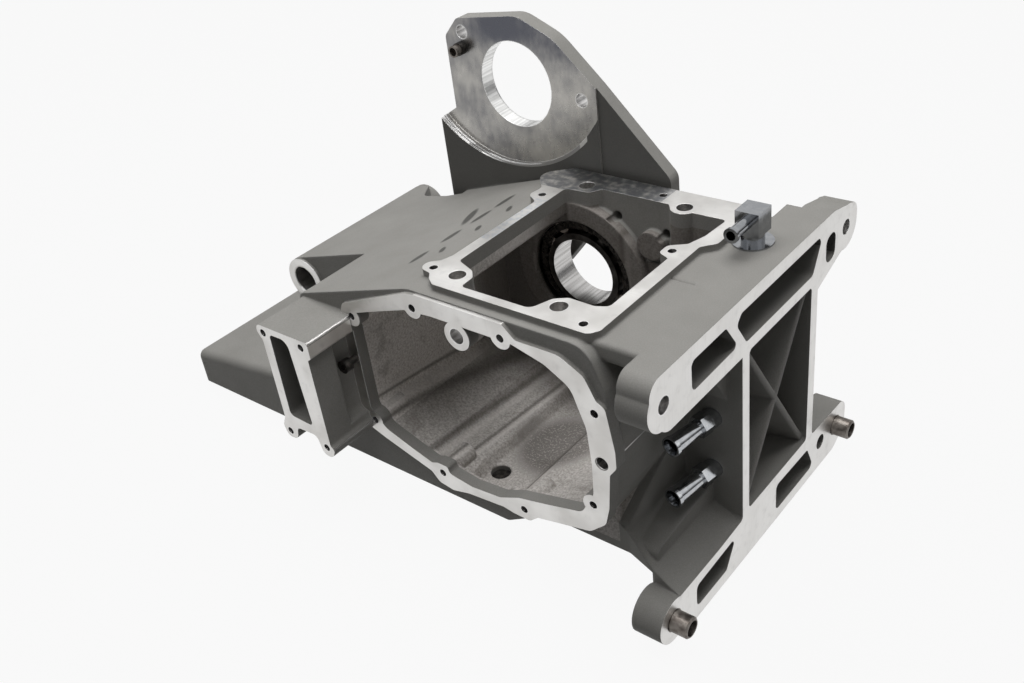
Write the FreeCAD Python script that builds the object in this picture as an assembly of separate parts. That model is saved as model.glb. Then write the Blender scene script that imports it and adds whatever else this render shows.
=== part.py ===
import FreeCAD, Part
import math
import os

# Cast and machined gearbox housing for a motorcycle, with the pieces that stay in it.
# Frame: the main bearing's centre is the origin. +X points to the engine face, +Y to the
# side with the starter plate, +Z up. The side-door opening faces -Y. Millimetres.

# Main faces of the casting
top_face_z = 64.0            # top-cover face above the main bearing centre
deck_z = 59.5                # cast deck beside the top-cover face
door_face_y = -159.0         # side-door gasket face
near_wall_y = -156.5         # cast near wall behind that face
far_face_y = 16.0            # machined outer face of the far wall
far_wall_inner_y = -6.0      # inner face of the far wall
engine_face_x = 160.0        # machined face towards the engine
pan_face_z = -99.5           # face that the oil pan closes
rear_wall_x = -126.0         # rear wall of the gear case
wall = 6.5                   # cast wall thickness
deck_slope = 0.31            # fall of the rear deck per millimetre
deck_break_x = -19.0         # where the level deck turns into the slope

# Main bearing, 50 x 90 x 20, with cylindrical rollers
bearing_bore_r = 25.0
bearing_outer_r = 45.0
bearing_width = 20.0
roller_r = 5.5
roller_offset = 0.25         # roller circle outside the middle between bore and outside
roller_pitch_r = (bearing_bore_r + bearing_outer_r) / 2 + roller_offset
roller_length = 12.0
roller_count = 12
roller_clearance = 0.05      # roller to each track
cage_inner_depth = 2.65      # inside the roller circle
cage_outer_depth = 2.35      # outside it
cage_inner_r = roller_pitch_r - cage_inner_depth
cage_outer_r = roller_pitch_r + cage_outer_depth
flange_gap = 1.0             # cage to the outer ring's flanges
outer_flange_r = cage_outer_r + flange_gap
cage_side_t = 1.8
cage_pocket_clearance = 0.3
seat_lip = 3.0               # housing lip that the outer ring stops against
seat_lip_height = 5.5
seat_lip_taper = 0.5         # its bore opens towards the case, per millimetre
seat_lip_r = bearing_outer_r - seat_lip_height
seat_wall = 9.0
snap_ring_width = 2.0
snap_ring_height = 3.0
snap_groove_depth = 1.5
snap_gap_angle = 24.0
ring_face_clearance = 0.1

# Countershaft drawn-cup needle bearing, below the main bearing
counter_x = 62.0
counter_z = -38.0
cup_outer_r = 16.0
cup_boss_wall = 6.0
cup_wall = 1.6
cup_width = 20.0
cup_lip_t = 1.2
cup_lip_r = 12.6
needle_r = 2.0
needle_count = 12
needle_length = 15.0
needle_clearance = 0.05
needle_cage_t = 1.4
needle_cage_side = 1.0
needle_pocket_clearance = 0.15

# Top cover opening and its holes
cover_hole_r = 2.6
cover_dowel_r = 5.3
cover_plate_t = 6.0
cover_screw_depth = 16.0
cover_boss_r = 9.3           # round the dowel holes; the far two stand into the opening
cover_boss_depth = 24.0

# Side door
door_hole_r = 2.6
door_hole_depth = 18.0
door_dowel_r = 3.9
door_dowel_depth = 11.5
door_dowel_chamfer = 0.6
door_oil_hole_r = 5.1
door_boss_r = 7.2
door_boss_length = 26.0
door_oil_boss_r = 9.6
door_flange_t = 9.0

# Spout block
spout_face_y = -196.5
spout_top_z = 25.5
spout_left_x = -121.0
spout_right_x = -78.0
spout_hole_r = 2.6
spout_hole_depth = 15.0
spout_hole_dx = 36.5
spout_hole_dz = 80.0
spout_hole_x = -100.5        # middle of the four holes
spout_hole_z = -20.0

# Engine face
face_hole_dy = 215.5
face_hole_dz = 158.5
face_middle_y = -49.3
face_middle_z = -39.2
face_hole_r = 5.2
face_boss_r = 15.5
face_boss_length = 20.0
rail_depth = 30.0            # between the core and the tabs
arm_depth = 20.0             # at the tabs
arm_start = 22.0             # where the rail steps down to that depth, from the hole's centre
arm_top_z = -105.0           # top edge of the near lower arm
arm_web_mid_x = 130.0        # middle of the hollow face behind that edge
arm_web_mid_z = -91.0
arm_web_high_z = -62.0       # where that face meets the case wall
front_rear_x = 98.0          # where the front of the case starts
pocket_depth = 24.0
arm_pocket_depth = 16.0
window_depth = 34.0
brace_edge_t = 4.0           # front edge of the crossed braces
brace_foot_t = 15.0          # their foot on the pocket floor
brace_recess = 3.0           # front edge behind the face
face_rib = 8.0
dowel_outer_r = 7.0
dowel_seat_r = 7.6           # thicker end, pressed into the case
dowel_neck_r = 6.6           # turned relief between the two
dowel_neck = 0.8
dowel_bore_r = 5.2
dowel_length = 24.0
dowel_stand = 12.0
dowel_chamfer = 1.0

# Starter plate
starter_x = -66.7
starter_z = 116.7
starter_r = 30.5
starter_face_y = 20.0
starter_back_y = 31.5
starter_wall_y = 14.0
starter_hole_r = 4.65
plate_cast_y = 21.5          # cast front of the plate outside the machined pad
pad_right_x = 0.8
wall_left_x = -138.0
wall_right_x = 0.8
wall_top_right_z = 101.5
spot_face_x = -74.0
spot_face_z = 144.5
spot_face_r = 86.0
stud_x = -113.0
stud_z = 137.5
stud_r = 3.2
stud_head_r = 4.1
stud_bore_r = 3.0
stud_stand = 9.5
stud_depth = 8.0
stud_collar_r = 4.6
stud_collar_t = 4.5

# Swing-arm pivot
pivot_x = -196.0
pivot_z = -13.0
pivot_r = 18.0
pivot_bore_r = 11.5
pivot_near_y = -99.0
pivot_far_y = 42.0
tail_far_y = 12.0

# Rear hood over the oil pan
hood_rear_x = -284.0
hood_rear_z = -72.0
hood_front_z = -50.0
hood_wall = 6.0
pan_front_x = 139.0
case_front_x = 119.0
pan_near_y = -140.0
pan_rail = 11.0
pan_hole_r = 3.1
pan_hole_depth = 12.0

# Vent elbow on the deck
vent_x = 134.3
vent_y = -15.5
vent_block = 15.6
vent_block_top = 82.0
vent_block_low = 66.5
vent_stem_r = 7.2
vent_washer_r = 12.8
vent_washer_t = 1.2
vent_barb_z = 75.8
vent_barb_length = 18.5
vent_pipe_r = 3.9
vent_bead_r = 4.8
vent_bead = 2.0
vent_bore_r = 3.0
vent_spigot_r = 3.5
vent_spigot = 6.0
vent_thread_r = 6.0
vent_thread_depth = 6.0

# Two hose fittings in the rib wall, drilled at a small angle
hose_x = 139.6
hose_z_upper = -30.0
hose_z_lower = -69.5
hose_turn = 9.5              # degrees towards the rear
hose_thread_r = 6.6
hose_thread_depth = 9.0
hose_thread_out = 6.0
hose_hex = 13.0
hose_hex_t = 8.0
hose_spigot_r = 5.2
hose_spigot = 6.0
hose_neck_r = 5.0
hose_mouth_r = 6.0
hose_bead_r = 6.5
hose_bead = 2.5
hose_bore_r = 3.2            # through the adapter
hose_pipe_bore_r = 4.3
hose_flare_r = 5.4           # bore at the mouth
hose_flare = 5.0
hose_pipe_length = 24.0

# Plugs and screw
drain_x = 6.8
drain_y = -127.4
drain_thread_r = 7.0
drain_hex = 17.0
drain_head_t = 8.0
drain_depth = 7.0
drain_socket_r = 4.0
drain_socket_depth = 5.0
drain_washer_r = 10.5
drain_washer_t = 1.5
drain_pad_r = 13.0
drain_pad_z = -103.5
floor_z = -93.0              # lowest level of the case floor
side_screw_x = -79.0
side_screw_z = -9.5
side_screw_r = 3.0
side_screw_head_r = 4.6
side_screw_head_t = 6.0
side_screw_head_y = -171.0
side_screw_socket = 4.0
side_screw_depth = 10.0
relief_depth = 6.5
relief_front_y = -176.0

V = FreeCAD.Vector
Y_AXIS = V(0, 1, 0)
Z_AXIS = V(0, 0, 1)
hose_axis = V(-math.sin(math.radians(hose_turn)), -math.cos(math.radians(hose_turn)), 0)
PLANES = {"XZ": lambda u, v, w: V(u, w, v), "YZ": lambda u, v, w: V(w, u, v), "XY": lambda u, v, w: V(u, v, w)}
NORMAL = {"XZ": V(0, 1, 0), "YZ": V(1, 0, 0), "XY": V(0, 0, 1)}
os.makedirs("parts", exist_ok=True)


def outline(points, plane, level):
    """Closed wire through (u, v, corner radius) points at one level of a plane."""
    put = PLANES[plane]
    count = len(points)
    corners = []
    for i in range(count):
        p = V(points[i][0], points[i][1], 0)
        r = points[i][2]
        a = V(*points[i - 1][:2], 0) - p
        b = V(*points[(i + 1) % count][:2], 0) - p
        if r <= 0:
            corners.append((p, None, p))
            continue
        half = a.getAngle(b) / 2
        a.normalize()
        b.normalize()
        run = r / math.tan(half)
        bisector = (a + b).normalize()
        middle = p + bisector * (r / math.sin(half) - r)
        corners.append((p + a * run, middle, p + b * run))
    edges = []
    for i in range(count):
        start, middle, end = corners[i]
        if middle is not None:
            edges.append(Part.Arc(put(start.x, start.y, level), put(middle.x, middle.y, level),
                                  put(end.x, end.y, level)).toShape())
        following = corners[(i + 1) % count][0]
        if (following - end).Length > 1e-6:
            edges.append(Part.makeLine(put(end.x, end.y, level), put(following.x, following.y, level)))
    return Part.Wire(edges)


def slab(points, plane, start, end):
    """Solid of that outline between two levels."""
    face = Part.Face(outline(points, plane, start))
    return face.extrude(NORMAL[plane] * (end - start))


def pin(radius, plane, u, v, start, end):
    """Cylinder normal to a plane between two levels."""
    low = min(start, end)
    return Part.makeCylinder(radius, abs(end - start), PLANES[plane](u, v, low), NORMAL[plane])


def join(shapes):
    return shapes[0].multiFuse(shapes[1:]).removeSplitter()


def revolve(points, axis_at, axis):
    """Solid of revolution of (distance along the axis, radius) points."""
    side = Z_AXIS.cross(axis)
    if side.Length < 0.1:
        side = V(1, 0, 0)
    side.normalize()
    ring = [axis_at + axis * d + side * r for d, r in points]
    ring.append(ring[0])
    return Part.Face(Part.makePolygon(ring)).revolve(axis_at, axis, 360)


def deck_height(x):
    return deck_z + min(0.0, x - deck_break_x) * deck_slope


# The two walls of the core behind the engine face, and the four engine-face holes
core_near_y = -75.0
core_far_y = 20.5
near_y = face_middle_y - face_hole_dy / 2
far_y = face_middle_y + face_hole_dy / 2
upper_z = face_middle_z + face_hole_dz / 2
lower_z = face_middle_z - face_hole_dz / 2

door_holes = [(-73.2, 25.1), (-14.5, 48.5), (54.0, 48.5), (116.0, 18.9), (109.0, -50.3), (53.5, -80.1),
              (-15.3, -80.1), (-73.2, -58.3)]
door_dowel = (118.0, -15.5)
door_oil_hole = (19.7, 39.0)
cover_holes = [(-15.3, -134.7), (-15.3, -26.1), (102.0, -143.2), (102.0, -53.4), (58.3, 7.0)]
cover_dowels = [(4.2, -135.0), (79.5, -135.0), (79.5, -2.0), (4.2, -2.0)]

# Inner outline of the gear case, seen along Y, with the runs and steps of its floor
case_inner = [(-75, 27, 6), (-22, 45, 8), (0, 47, 6), (62, 47, 8), (84, 41, 14), (101, 31, 14), (109.5, 6, 20),
              (111, -18, 10), (110, -42, 8), (100, -60, 8), (72, -67, 6), (50, -72, 6), (34, -79, 6),
              (10, -81, 6), (-9, -78, 3), (-10, -73, 2), (-19, -73, 2), (-24, -75, 2), (-40, -70, 4),
              (-63, -62, 8), (-75, -50, 10)]


def gear_case():
    """The closed body between the side door and the far wall."""
    left = rear_wall_x
    deck = [(left, deck_height(left), 5), (deck_break_x, deck_z, 30), (112, deck_z, 16), (124, 30, 24),
            (123, -8, 40), (118, -50, 14), (110, -70, 12), (66, -82, 8), (36, pan_face_z, 6),
            (left, pan_face_z, 0)]
    return slab(deck, "XZ", near_wall_y, far_face_y)


def arm_web():
    """Hollow-faced web from the near lower arm back to the case wall, tapering to the tab."""
    top = Part.Arc(V(engine_face_x, 0, arm_top_z), V(arm_web_mid_x, 0, arm_web_mid_z),
                   V(front_rear_x, 0, arm_web_high_z)).toShape()
    foot = [V(front_rear_x, 0, arm_web_high_z), V(front_rear_x, 0, pan_face_z), V(pan_front_x, 0, pan_face_z),
            V(pan_front_x, 0, lower_z), V(engine_face_x, 0, lower_z), V(engine_face_x, 0, arm_top_z)]
    section = Part.Face(Part.Wire([top] + Part.makePolygon(foot).Edges))
    web = section.extrude(V(0, pan_near_y - 10 - core_near_y, 0)).translated(V(0, core_near_y, 0))
    plan = slab([(front_rear_x, core_near_y, 0), (engine_face_x, core_near_y, 0), (engine_face_x, pan_near_y - 10, 0),
                 (engine_face_x - arm_depth, pan_near_y - 7, 12), (case_front_x, pan_near_y, 8),
                 (front_rear_x, pan_near_y, 0)], "XY", -200.0, 0.0)
    return web.common(plan)


def case_front():
    """The front of the case: the core behind the engine face, its two rails and four tabs."""
    core = slab([(core_near_y, deck_z, 4), (core_far_y, deck_z, 4), (core_far_y, pan_face_z, 4),
                 (core_near_y, pan_face_z, 0)], "YZ", front_rear_x, engine_face_x)
    r = face_boss_r
    upper = [(near_y - r + 3, deck_z, 10), (near_y - r + 2, upper_z - 6, 10), (near_y + 2, upper_z - r - 4, 12),
             (core_near_y, 20, 2), (core_far_y, 14, 8), (far_y - 8, upper_z - r, 22),
             (far_y + r, upper_z - 10, 12), (far_y + r, upper_z + 12, 9), (far_y - 18, deck_z, 20)]
    lower = [(near_y - 4, lower_z + 14, 14), (near_y + 16, lower_z + 11.5, 20), (core_near_y, pan_face_z - 4, 3),
             (core_near_y, pan_face_z + 3, 0), (core_far_y, pan_face_z + 3, 0), (core_far_y, pan_face_z - 1.5, 3),
             (far_y + r, lower_z + 15, 10), (far_y + r, lower_z - 10, 14),
             (far_y - 2, lower_z - 20, 14), (near_y + 24, lower_z - 20.5, 16), (near_y - 2, lower_z - r + 1, 12),
             (near_y - r, lower_z - 2, 10)]
    solids = [core]
    middle = Part.makeBox(rail_depth, face_hole_dy - 2 * arm_start, 400,
                          V(engine_face_x - rail_depth, near_y + arm_start, -200))
    for points in (upper, lower):
        solids.append(slab(points, "YZ", engine_face_x - arm_depth, engine_face_x))
    solids.append(slab(upper, "YZ", engine_face_x - rail_depth, engine_face_x).common(middle))
    inner = Part.makeBox(rail_depth, core_far_y - core_near_y + 30, 400,
                         V(engine_face_x - rail_depth, core_near_y, -200))
    solids.append(slab(lower, "YZ", engine_face_x - rail_depth, engine_face_x).common(inner))
    for y in (near_y, far_y):
        for z in (upper_z, lower_z):
            solids.append(pin(face_boss_r, "YZ", y, z, engine_face_x - face_boss_length, engine_face_x))
    solids.append(arm_web())
    # deck edge between the case and the near upper tab, scooped out below
    edge_y = near_wall_y + 7.5
    solids.append(slab([(edge_y, deck_z, 3), (core_near_y, deck_z, 0), (core_near_y, -14, 0), (core_near_y - 14, 8, 16),
                        (edge_y + 24, 36, 30), (edge_y, 48, 5)], "YZ", front_rear_x, 150.0))
    # pan rail beside the core and the wall that rises from it
    solids.append(slab([(pan_near_y, pan_face_z, 0), (pan_near_y, -88, 6), (core_near_y, -82, 0),
                        (core_near_y, pan_face_z, 0)], "YZ", 60.0, pan_front_x))
    solids.append(slab([(pan_near_y, -90, 0), (pan_near_y, -78, 8), (core_near_y, -40, 0), (core_near_y, -90, 0)],
                       "YZ", 60.0, case_front_x))
    return solids


def front_pockets():
    """Cast pockets in the engine face; the middle one keeps two crossed ribs."""
    front = engine_face_x + 1
    cuts = [
        slab([(-129.5, 50, 4), (-93, 50, 3), (-80, 31, 3), (-129.5, 30.5, 4)], "YZ", engine_face_x - pocket_depth, front),
        slab([(-76, 50.5, 4), (25, 50.5, 4), (12.5, 28, 4), (-70.5, 28, 4), (-81.5, 45, 4)], "YZ",
             engine_face_x - pocket_depth, front),
        slab([(-84, -111, 3), (-96, -130, 3), (-132, -130, 4), (-131.5, -113, 4)], "YZ",
             engine_face_x - arm_pocket_depth, front),
        slab([(14.6, -110.5, 3), (24, -130.5, 4), (-30.5, -130.5, 4), (-30.5, -109, 4)], "YZ",
             engine_face_x - pocket_depth, front),
    ]
    near, far, low, high = -67.0, 12.0, -100.0, 20.3
    window = slab([(near, high, 3), (far, high, 3), (far, low, 3), (near, low, 3)], "YZ",
                  engine_face_x - window_depth, front)
    length = math.hypot(far - near, high - low) + 20
    for sign in (1, -1):
        angle = math.degrees(math.atan2(high - low, far - near)) * sign
        foot_x = engine_face_x - window_depth - 1
        brace = slab([(foot_x, -brace_foot_t / 2, 0), (engine_face_x - brace_recess, -brace_edge_t / 2, 1.5),
                      (engine_face_x - brace_recess, brace_edge_t / 2, 1.5), (foot_x, brace_foot_t / 2, 0)], "XZ",
                     -length / 2, length / 2)
        brace.rotate(V(0, 0, 0), V(1, 0, 0), angle)
        brace.translate(V(0, (near + far) / 2, (low + high) / 2))
        window = window.cut(brace)
    cuts.append(window)
    return cuts


def spout_block():
    """Rectangular duct block that stands out beside the side door."""
    left = spout_left_x
    right = spout_right_x
    top = spout_top_z
    low = spout_hole_z - spout_hole_dz / 2
    hole_left = spout_hole_x - spout_hole_dx / 2
    hole_right = spout_hole_x + spout_hole_dx / 2
    block = slab([(left - 3, top, 4), (right + 3, top, 1.5), (right + 3, top - 12, 1), (right, top - 14, 1),
                  (right, low + 3, 3), (hole_right + 7.5, low, 3), (hole_right + 4, low - 8, 6),
                  (hole_right - 5, low - 7, 5), (hole_right - 8, low + 7, 5), (hole_left + 9, low + 6, 4),
                  (hole_left + 6, low - 5, 5), (hole_left - 4, low - 6, 5), (hole_left - 6.5, low + 3, 5),
                  (left, low + 11, 4), (left, top - 12, 4), (left - 4, top - 6, 4)],
                 "XZ", spout_face_y, near_wall_y + 1)
    window = slab([(-112.5, 20.5, 3), (-95.5, 21, 7), (-91.5, -45.5, 3), (-113.5, -44.5, 4)], "XZ",
                  spout_face_y - 1, -112.0)
    holes = []
    for x in (hole_left, hole_right):
        for z in (low, low + spout_hole_dz):
            holes.append(pin(spout_hole_r, "XZ", x, z, spout_face_y - 1, spout_face_y + spout_hole_depth))
    # machined relief in the inboard wall, stopping under the top band
    relief = slab([(right + 6, top - 14, 3), (right + 6, -52, 0), (right - relief_depth, -52, 6),
                   (right - relief_depth, top - 14, 3)], "XZ", relief_front_y, door_face_y)
    return block, [window, relief] + holes


def hood():
    """Hood over the oil pan: a low wedge behind the case, open below."""
    near = near_wall_y
    far = far_face_y
    top = slab([(hood_rear_x, hood_rear_z, 7), (rear_wall_x + 2, hood_front_z, 0), (rear_wall_x + 2, pan_face_z, 0),
                (hood_rear_x, pan_face_z, 0)], "XZ", near, far)
    upright = [e for e in top.Edges if abs(e.Vertexes[0].X - hood_rear_x) < 0.1 and abs(e.Vertexes[-1].X - hood_rear_x) < 0.1
               and abs(e.Vertexes[0].Z - e.Vertexes[-1].Z) > 5 and len(e.Vertexes) == 2]
    top = top.makeFillet(6.0, upright)
    return top


def hood_hollow():
    near = near_wall_y + pan_rail
    far = far_face_y - pan_rail
    t = hood_wall
    slope = (hood_front_z - hood_rear_z) / (rear_wall_x + 2 - hood_rear_x)
    front = rear_wall_x + 24
    return slab([(hood_rear_x + pan_rail, hood_rear_z + pan_rail * slope - t, 5),
                 (front, hood_front_z + (front - rear_wall_x) * slope - t, 5), (front, pan_face_z - 1, 0),
                 (hood_rear_x + pan_rail, pan_face_z - 1, 0)], "XZ", near, far)


def tail():
    """Tail that carries the swing-arm pivot tube, below the line of the rear deck."""
    start = rear_wall_x + 4
    end = pivot_x - pivot_r * 0.6
    low = pivot_z - pivot_r + 3
    web = slab([(start, deck_height(start), 0), (end, deck_height(end) + 1.5, 8), (pivot_x - pivot_r * 0.8, pivot_z, 6),
                (pivot_x, low, 8), (start, -44, 0)], "XZ", pivot_near_y + 2, pivot_far_y - 4)
    # its far side is waisted between the tube and the starter plate
    web = web.common(slab([(start, pivot_near_y, 0), (pivot_x - pivot_r, pivot_near_y, 0),
                           (pivot_x - pivot_r, pivot_far_y, 0), (pivot_x + 8, pivot_far_y - 4, 12),
                           (pivot_x + 26, tail_far_y, 16), (pivot_x + 58, tail_far_y - 6, 8),
                           (start, tail_far_y - 4, 0)], "XY", -60.0, deck_z))
    tube = pin(pivot_r, "XZ", pivot_x, pivot_z, pivot_near_y, pivot_far_y)
    return [web, tube]


def tail_pockets():
    """Three cored pockets on the underside of the tail."""
    cuts = []
    length = (tail_far_y - pivot_near_y - 2 - 4 * wall) / 3
    for i in range(3):
        y = pivot_near_y + 2 + wall + i * (length + wall)
        cuts.append(slab([(rear_wall_x - 4, deck_height(rear_wall_x - 4) - wall - 1, 4),
                          (pivot_x + pivot_r + 4, deck_height(pivot_x + pivot_r + 4) - wall - 1, 4),
                          (pivot_x + pivot_r + 4, -46, 0), (rear_wall_x - 4, -52, 0)], "XZ", y, y + length))
    return cuts


def starter_plate():
    """Upright plate on the far side: its machined pad, and the tapered cast wall below the round spot face."""
    shape = [(-127, 145, 5), (-114.5, 158.5, 6), (-60, 165, 22), (-31, 152.5, 40), (pad_right_x, 122.8, 30)]
    cast = slab([(-127, 0, 0)] + shape + [(55, 68, 9), (55, 40, 0), (10, 20, 0)], "XZ", plate_cast_y, starter_back_y)
    pad = slab([(-127, 60, 0)] + shape[:-1] + [(pad_right_x, 122.8, 0), (pad_right_x, 60, 0)], "XZ",
               starter_face_y, starter_back_y)
    front = slab([(wall_left_x, -20, 0), (wall_left_x, 84, 3), (-127, 91, 0), (-127, 140, 0),
                  (wall_right_x, wall_top_right_z + 20, 0), (wall_right_x, 30, 0), (-40, -20, 0)], "XZ",
                 starter_wall_y, starter_back_y)
    plan = slab([(wall_left_x, starter_wall_y, 0), (wall_right_x, starter_face_y, 0),
                 (wall_right_x, starter_back_y, 0), (wall_left_x, starter_back_y, 0)], "XY", -20.0, 130.0)
    front = front.common(plan)
    x, z = spot_face_x, spot_face_z
    front = front.cut(pin(spot_face_r, "XZ", x, z, starter_wall_y - 1, starter_face_y))
    front = front.cut(pin(spot_face_r + 2.2, "XZ", x, z, starter_wall_y - 1, starter_wall_y + 2.5))
    corner = Part.makeBox(20, starter_face_y - starter_wall_y, 40, V(wall_right_x - 10, starter_wall_y, wall_top_right_z))
    return [cast, pad, front.cut(corner)]


def top_flange():
    """Machined top-cover face with its screw tabs."""
    t = cover_plate_t
    plate = slab([(-14.5, -118, 4), (-17, -126, 3), (-23, -131, 5), (-23.5, -139, 6), (-13, -141, 3), (-9, -146, 4),
                  (-2.5, -150.5, 4), (110, -150.5, 6), (114, -144, 4), (114, -42, 5), (121.5, -34, 5),
                  (121.5, 10, 4), (116, far_face_y + 1, 3), (-20, far_face_y + 1, 6), (-38, 0, 10), (-22, -18, 6),
                  (-24, -30, 6), (-13.5, -36, 5)], "XY", top_face_z - t, top_face_z)
    return plate


def top_opening():
    return slab([(-6.5, -12, 3), (-6.5, -121, 4), (9, -127, 5), (14.5, -133, 4), (15, -144.3, 3), (66, -144.3, 6),
                 (71.5, -130, 6), (79, -125, 4), (97, -125.5, 5), (104.5, -122, 4), (104.5, -62, 2), (96, -58.5, 4),
                 (96, -49, 5), (106, -42, 4), (110, -29, 4), (111.5, -6, 3), (88, -6.6, 2), (72, -7.2, 2),
                 (68, -2.5, 2), (17, -2.5, 2), (11.5, -10.5, 4)], "XY", 20.0, top_face_z + 1)


def case_hollow():
    """Inside of the gear case: the door opening's outline, and the deeper floor behind its lip."""
    hollow = slab(case_inner, "XZ", door_face_y - 1, far_wall_inner_y)
    floor = slab([(-31, -62, 0), (-31, -74, 3), (-26, -78.5, 3), (-4, -84, 4), (0, floor_z, 3), (31, floor_z, 5),
                  (44, -81, 8), (70, -74, 8), (97, -62, 8), (97, -50, 0)], "XZ",
                 door_face_y + door_flange_t + 1, far_wall_inner_y)
    return hollow.fuse(floor)


def door_flange():
    """Gasket face around the side door, with the upright bar under the cover face."""
    y0 = door_face_y
    y1 = door_face_y + door_flange_t
    return slab([(-78, 18, 2), (-84, 24, 4), (-80, 33, 5), (-59, 41.8, 6), (-20, 57.5, 5), (-11, deck_z - 0.8, 2),
                 (56.5, deck_z - 0.8, 2), (65, 50.6, 4), (95, 50.6, 14), (111, 42, 8), (118, 28, 3), (123.5, 25, 5),
                 (128, -3, 10), (128, -15, 5), (123, -22, 3), (120.5, -48, 6), (117, -62, 9), (105, -73, 8),
                 (64, -82, 3), (57, -88, 5), (44, -87.5, 3), (36, -86, 3), (6, -88.5, 6), (-8, -92, 5),
                 (-20, -90, 6), (-26, -83, 4), (-66, -71, 4), (-80, -66, 6), (-82, -52, 3), (-78, -45, 1)],
                "XZ", y0, y1)


def door_bosses():
    """Half-round screw bosses that stand into the opening."""
    solids = []
    inner = far_wall_inner_y
    for x, z in door_holes + [door_dowel]:
        solids.append(pin(door_boss_r, "XZ", x, z, door_face_y, door_face_y + door_boss_length))
    x, z = door_oil_hole
    solids.append(pin(door_oil_boss_r, "XZ", x, z, door_face_y, inner + 1))
    return solids


def housing():
    spout, spout_cuts = spout_block()
    body = join([gear_case(), hood(), spout, door_flange()] + case_front() + tail() + starter_plate())
    cavity = case_hollow()
    bosses = door_bosses()
    boss_shape = bosses[0].multiFuse(bosses[1:]) if len(bosses) > 1 else bosses[0]
    cavity = cavity.cut(boss_shape)
    body = body.cut(cavity)
    flange = top_flange()
    opening = top_opening()
    pillars = []
    for x, y in cover_dowels[2:]:
        opening = opening.cut(pin(cover_boss_r, "XY", x, y, top_face_z - cover_boss_depth, top_face_z + 2))
    for x, y in cover_dowels:
        pillars.append(pin(cover_boss_r, "XY", x, y, top_face_z - cover_boss_depth, top_face_z - 1))
    for x, y in cover_holes[1:]:
        pillars.append(pin(6.2, "XY", x, y, top_face_z - cover_screw_depth - 4, top_face_z - 1))
    bearing_boss = pin(bearing_outer_r + seat_wall, "XZ", 0, 0, -bearing_width / 2 - seat_lip, far_face_y)
    counter_boss = pin(cup_outer_r + cup_boss_wall, "XZ", counter_x, counter_z, far_wall_inner_y - 8, far_face_y)
    shaft_boss = pin(10.0, "XZ", 57.0, 34.0, far_wall_inner_y - 4, far_face_y)
    trim = Part.makeBox(800, 800, 60, V(-400, -400, top_face_z))
    body = body.cut(opening)
    body = body.fuse(flange.cut(opening))
    inner_bosses = bearing_boss.multiFuse([counter_boss, shaft_boss] + [p.cut(opening) for p in pillars])
    body = body.fuse(inner_bosses)
    drain_pad = pin(drain_pad_r, "XY", drain_x, drain_y, drain_pad_z, floor_z - 1)
    body = body.fuse(drain_pad)
    cuts = spout_cuts + front_pockets() + [hood_hollow()] + tail_pockets()
    # bearing seats
    half = bearing_width / 2
    lip = seat_lip + 1
    cuts.append(Part.makeCone(seat_lip_r + lip * seat_lip_taper, seat_lip_r, lip, V(0, -half - lip, 0), Y_AXIS))
    cuts.append(pin(bearing_outer_r, "XZ", 0, 0, -half, far_face_y + 1))
    groove_r = bearing_outer_r + snap_groove_depth
    cuts.append(pin(groove_r, "XZ", 0, 0, half, half + snap_ring_width + ring_face_clearance))
    cuts.append(pin(cup_outer_r, "XZ", counter_x, counter_z, -cup_width / 2, far_face_y + 1))
    cuts.append(pin(cup_outer_r - 2, "XZ", counter_x, counter_z, far_wall_inner_y - 9, far_face_y))
    # two gallery holes in the far wall
    for x, z in ((28.0, 47.0), (66.0, 42.0)):
        cuts.append(pin(3.4, "XZ", x, z, far_wall_inner_y - 6, far_wall_inner_y + 12))
    # screw and dowel holes
    for x, z in door_holes:
        cuts.append(pin(door_hole_r, "XZ", x, z, door_face_y - 1, door_face_y + door_hole_depth))
    cuts.append(pin(door_dowel_r, "XZ", *door_dowel, door_face_y - 1, door_face_y + door_dowel_depth))
    cuts.append(Part.makeCone(door_dowel_r + 2 * door_dowel_chamfer, door_dowel_r, 2 * door_dowel_chamfer,
                              V(door_dowel[0], door_face_y - door_dowel_chamfer, door_dowel[1]), V(0, 1, 0)))
    cuts.append(pin(door_oil_hole_r, "XZ", *door_oil_hole, door_face_y - 1, door_face_y + 60))
    for x, y in cover_holes:
        cuts.append(pin(cover_hole_r, "XY", x, y, top_face_z - cover_screw_depth, top_face_z + 1))
    for x, y in cover_dowels:
        cuts.append(pin(cover_dowel_r, "XY", x, y, top_face_z - 14, top_face_z + 1))
    for y in (near_y, far_y):
        cuts.append(pin(face_hole_r, "YZ", y, upper_z, engine_face_x - rail_depth - 1, engine_face_x + 1))
        cuts.append(pin(dowel_seat_r, "YZ", y, lower_z, engine_face_x - (dowel_length - dowel_stand),
                        engine_face_x + 1))
        cuts.append(pin(dowel_bore_r, "YZ", y, lower_z, engine_face_x - rail_depth - 1, engine_face_x))
    # oval and round relief holes beside the far bosses
    oval = slab([(30, 44, 5.4), (43.5, 47, 5.4), (43, 28, 5.4), (30.5, 25, 5.4)], "YZ", engine_face_x - 20,
                engine_face_x + 1)
    cuts.append(oval)
    cuts.append(pin(5.5, "YZ", 34.5, -117.0, engine_face_x - 15, engine_face_x + 1))
    # starter seat, stud and pivot
    cuts.append(pin(starter_r, "XZ", starter_x, starter_z, starter_wall_y - 5, starter_back_y + 1))
    for x, z in ((-111.0, 149.0), (-11.2, 113.0)):
        cuts.append(pin(starter_hole_r, "XZ", x, z, starter_face_y - 1, starter_back_y + 1))
    cuts.append(pin(stud_r, "XZ", stud_x, stud_z, starter_face_y - 1, starter_face_y + stud_depth))
    cuts.append(pin(pivot_bore_r, "XZ", pivot_x, pivot_z, pivot_near_y - 1, pivot_far_y + 1))
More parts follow.
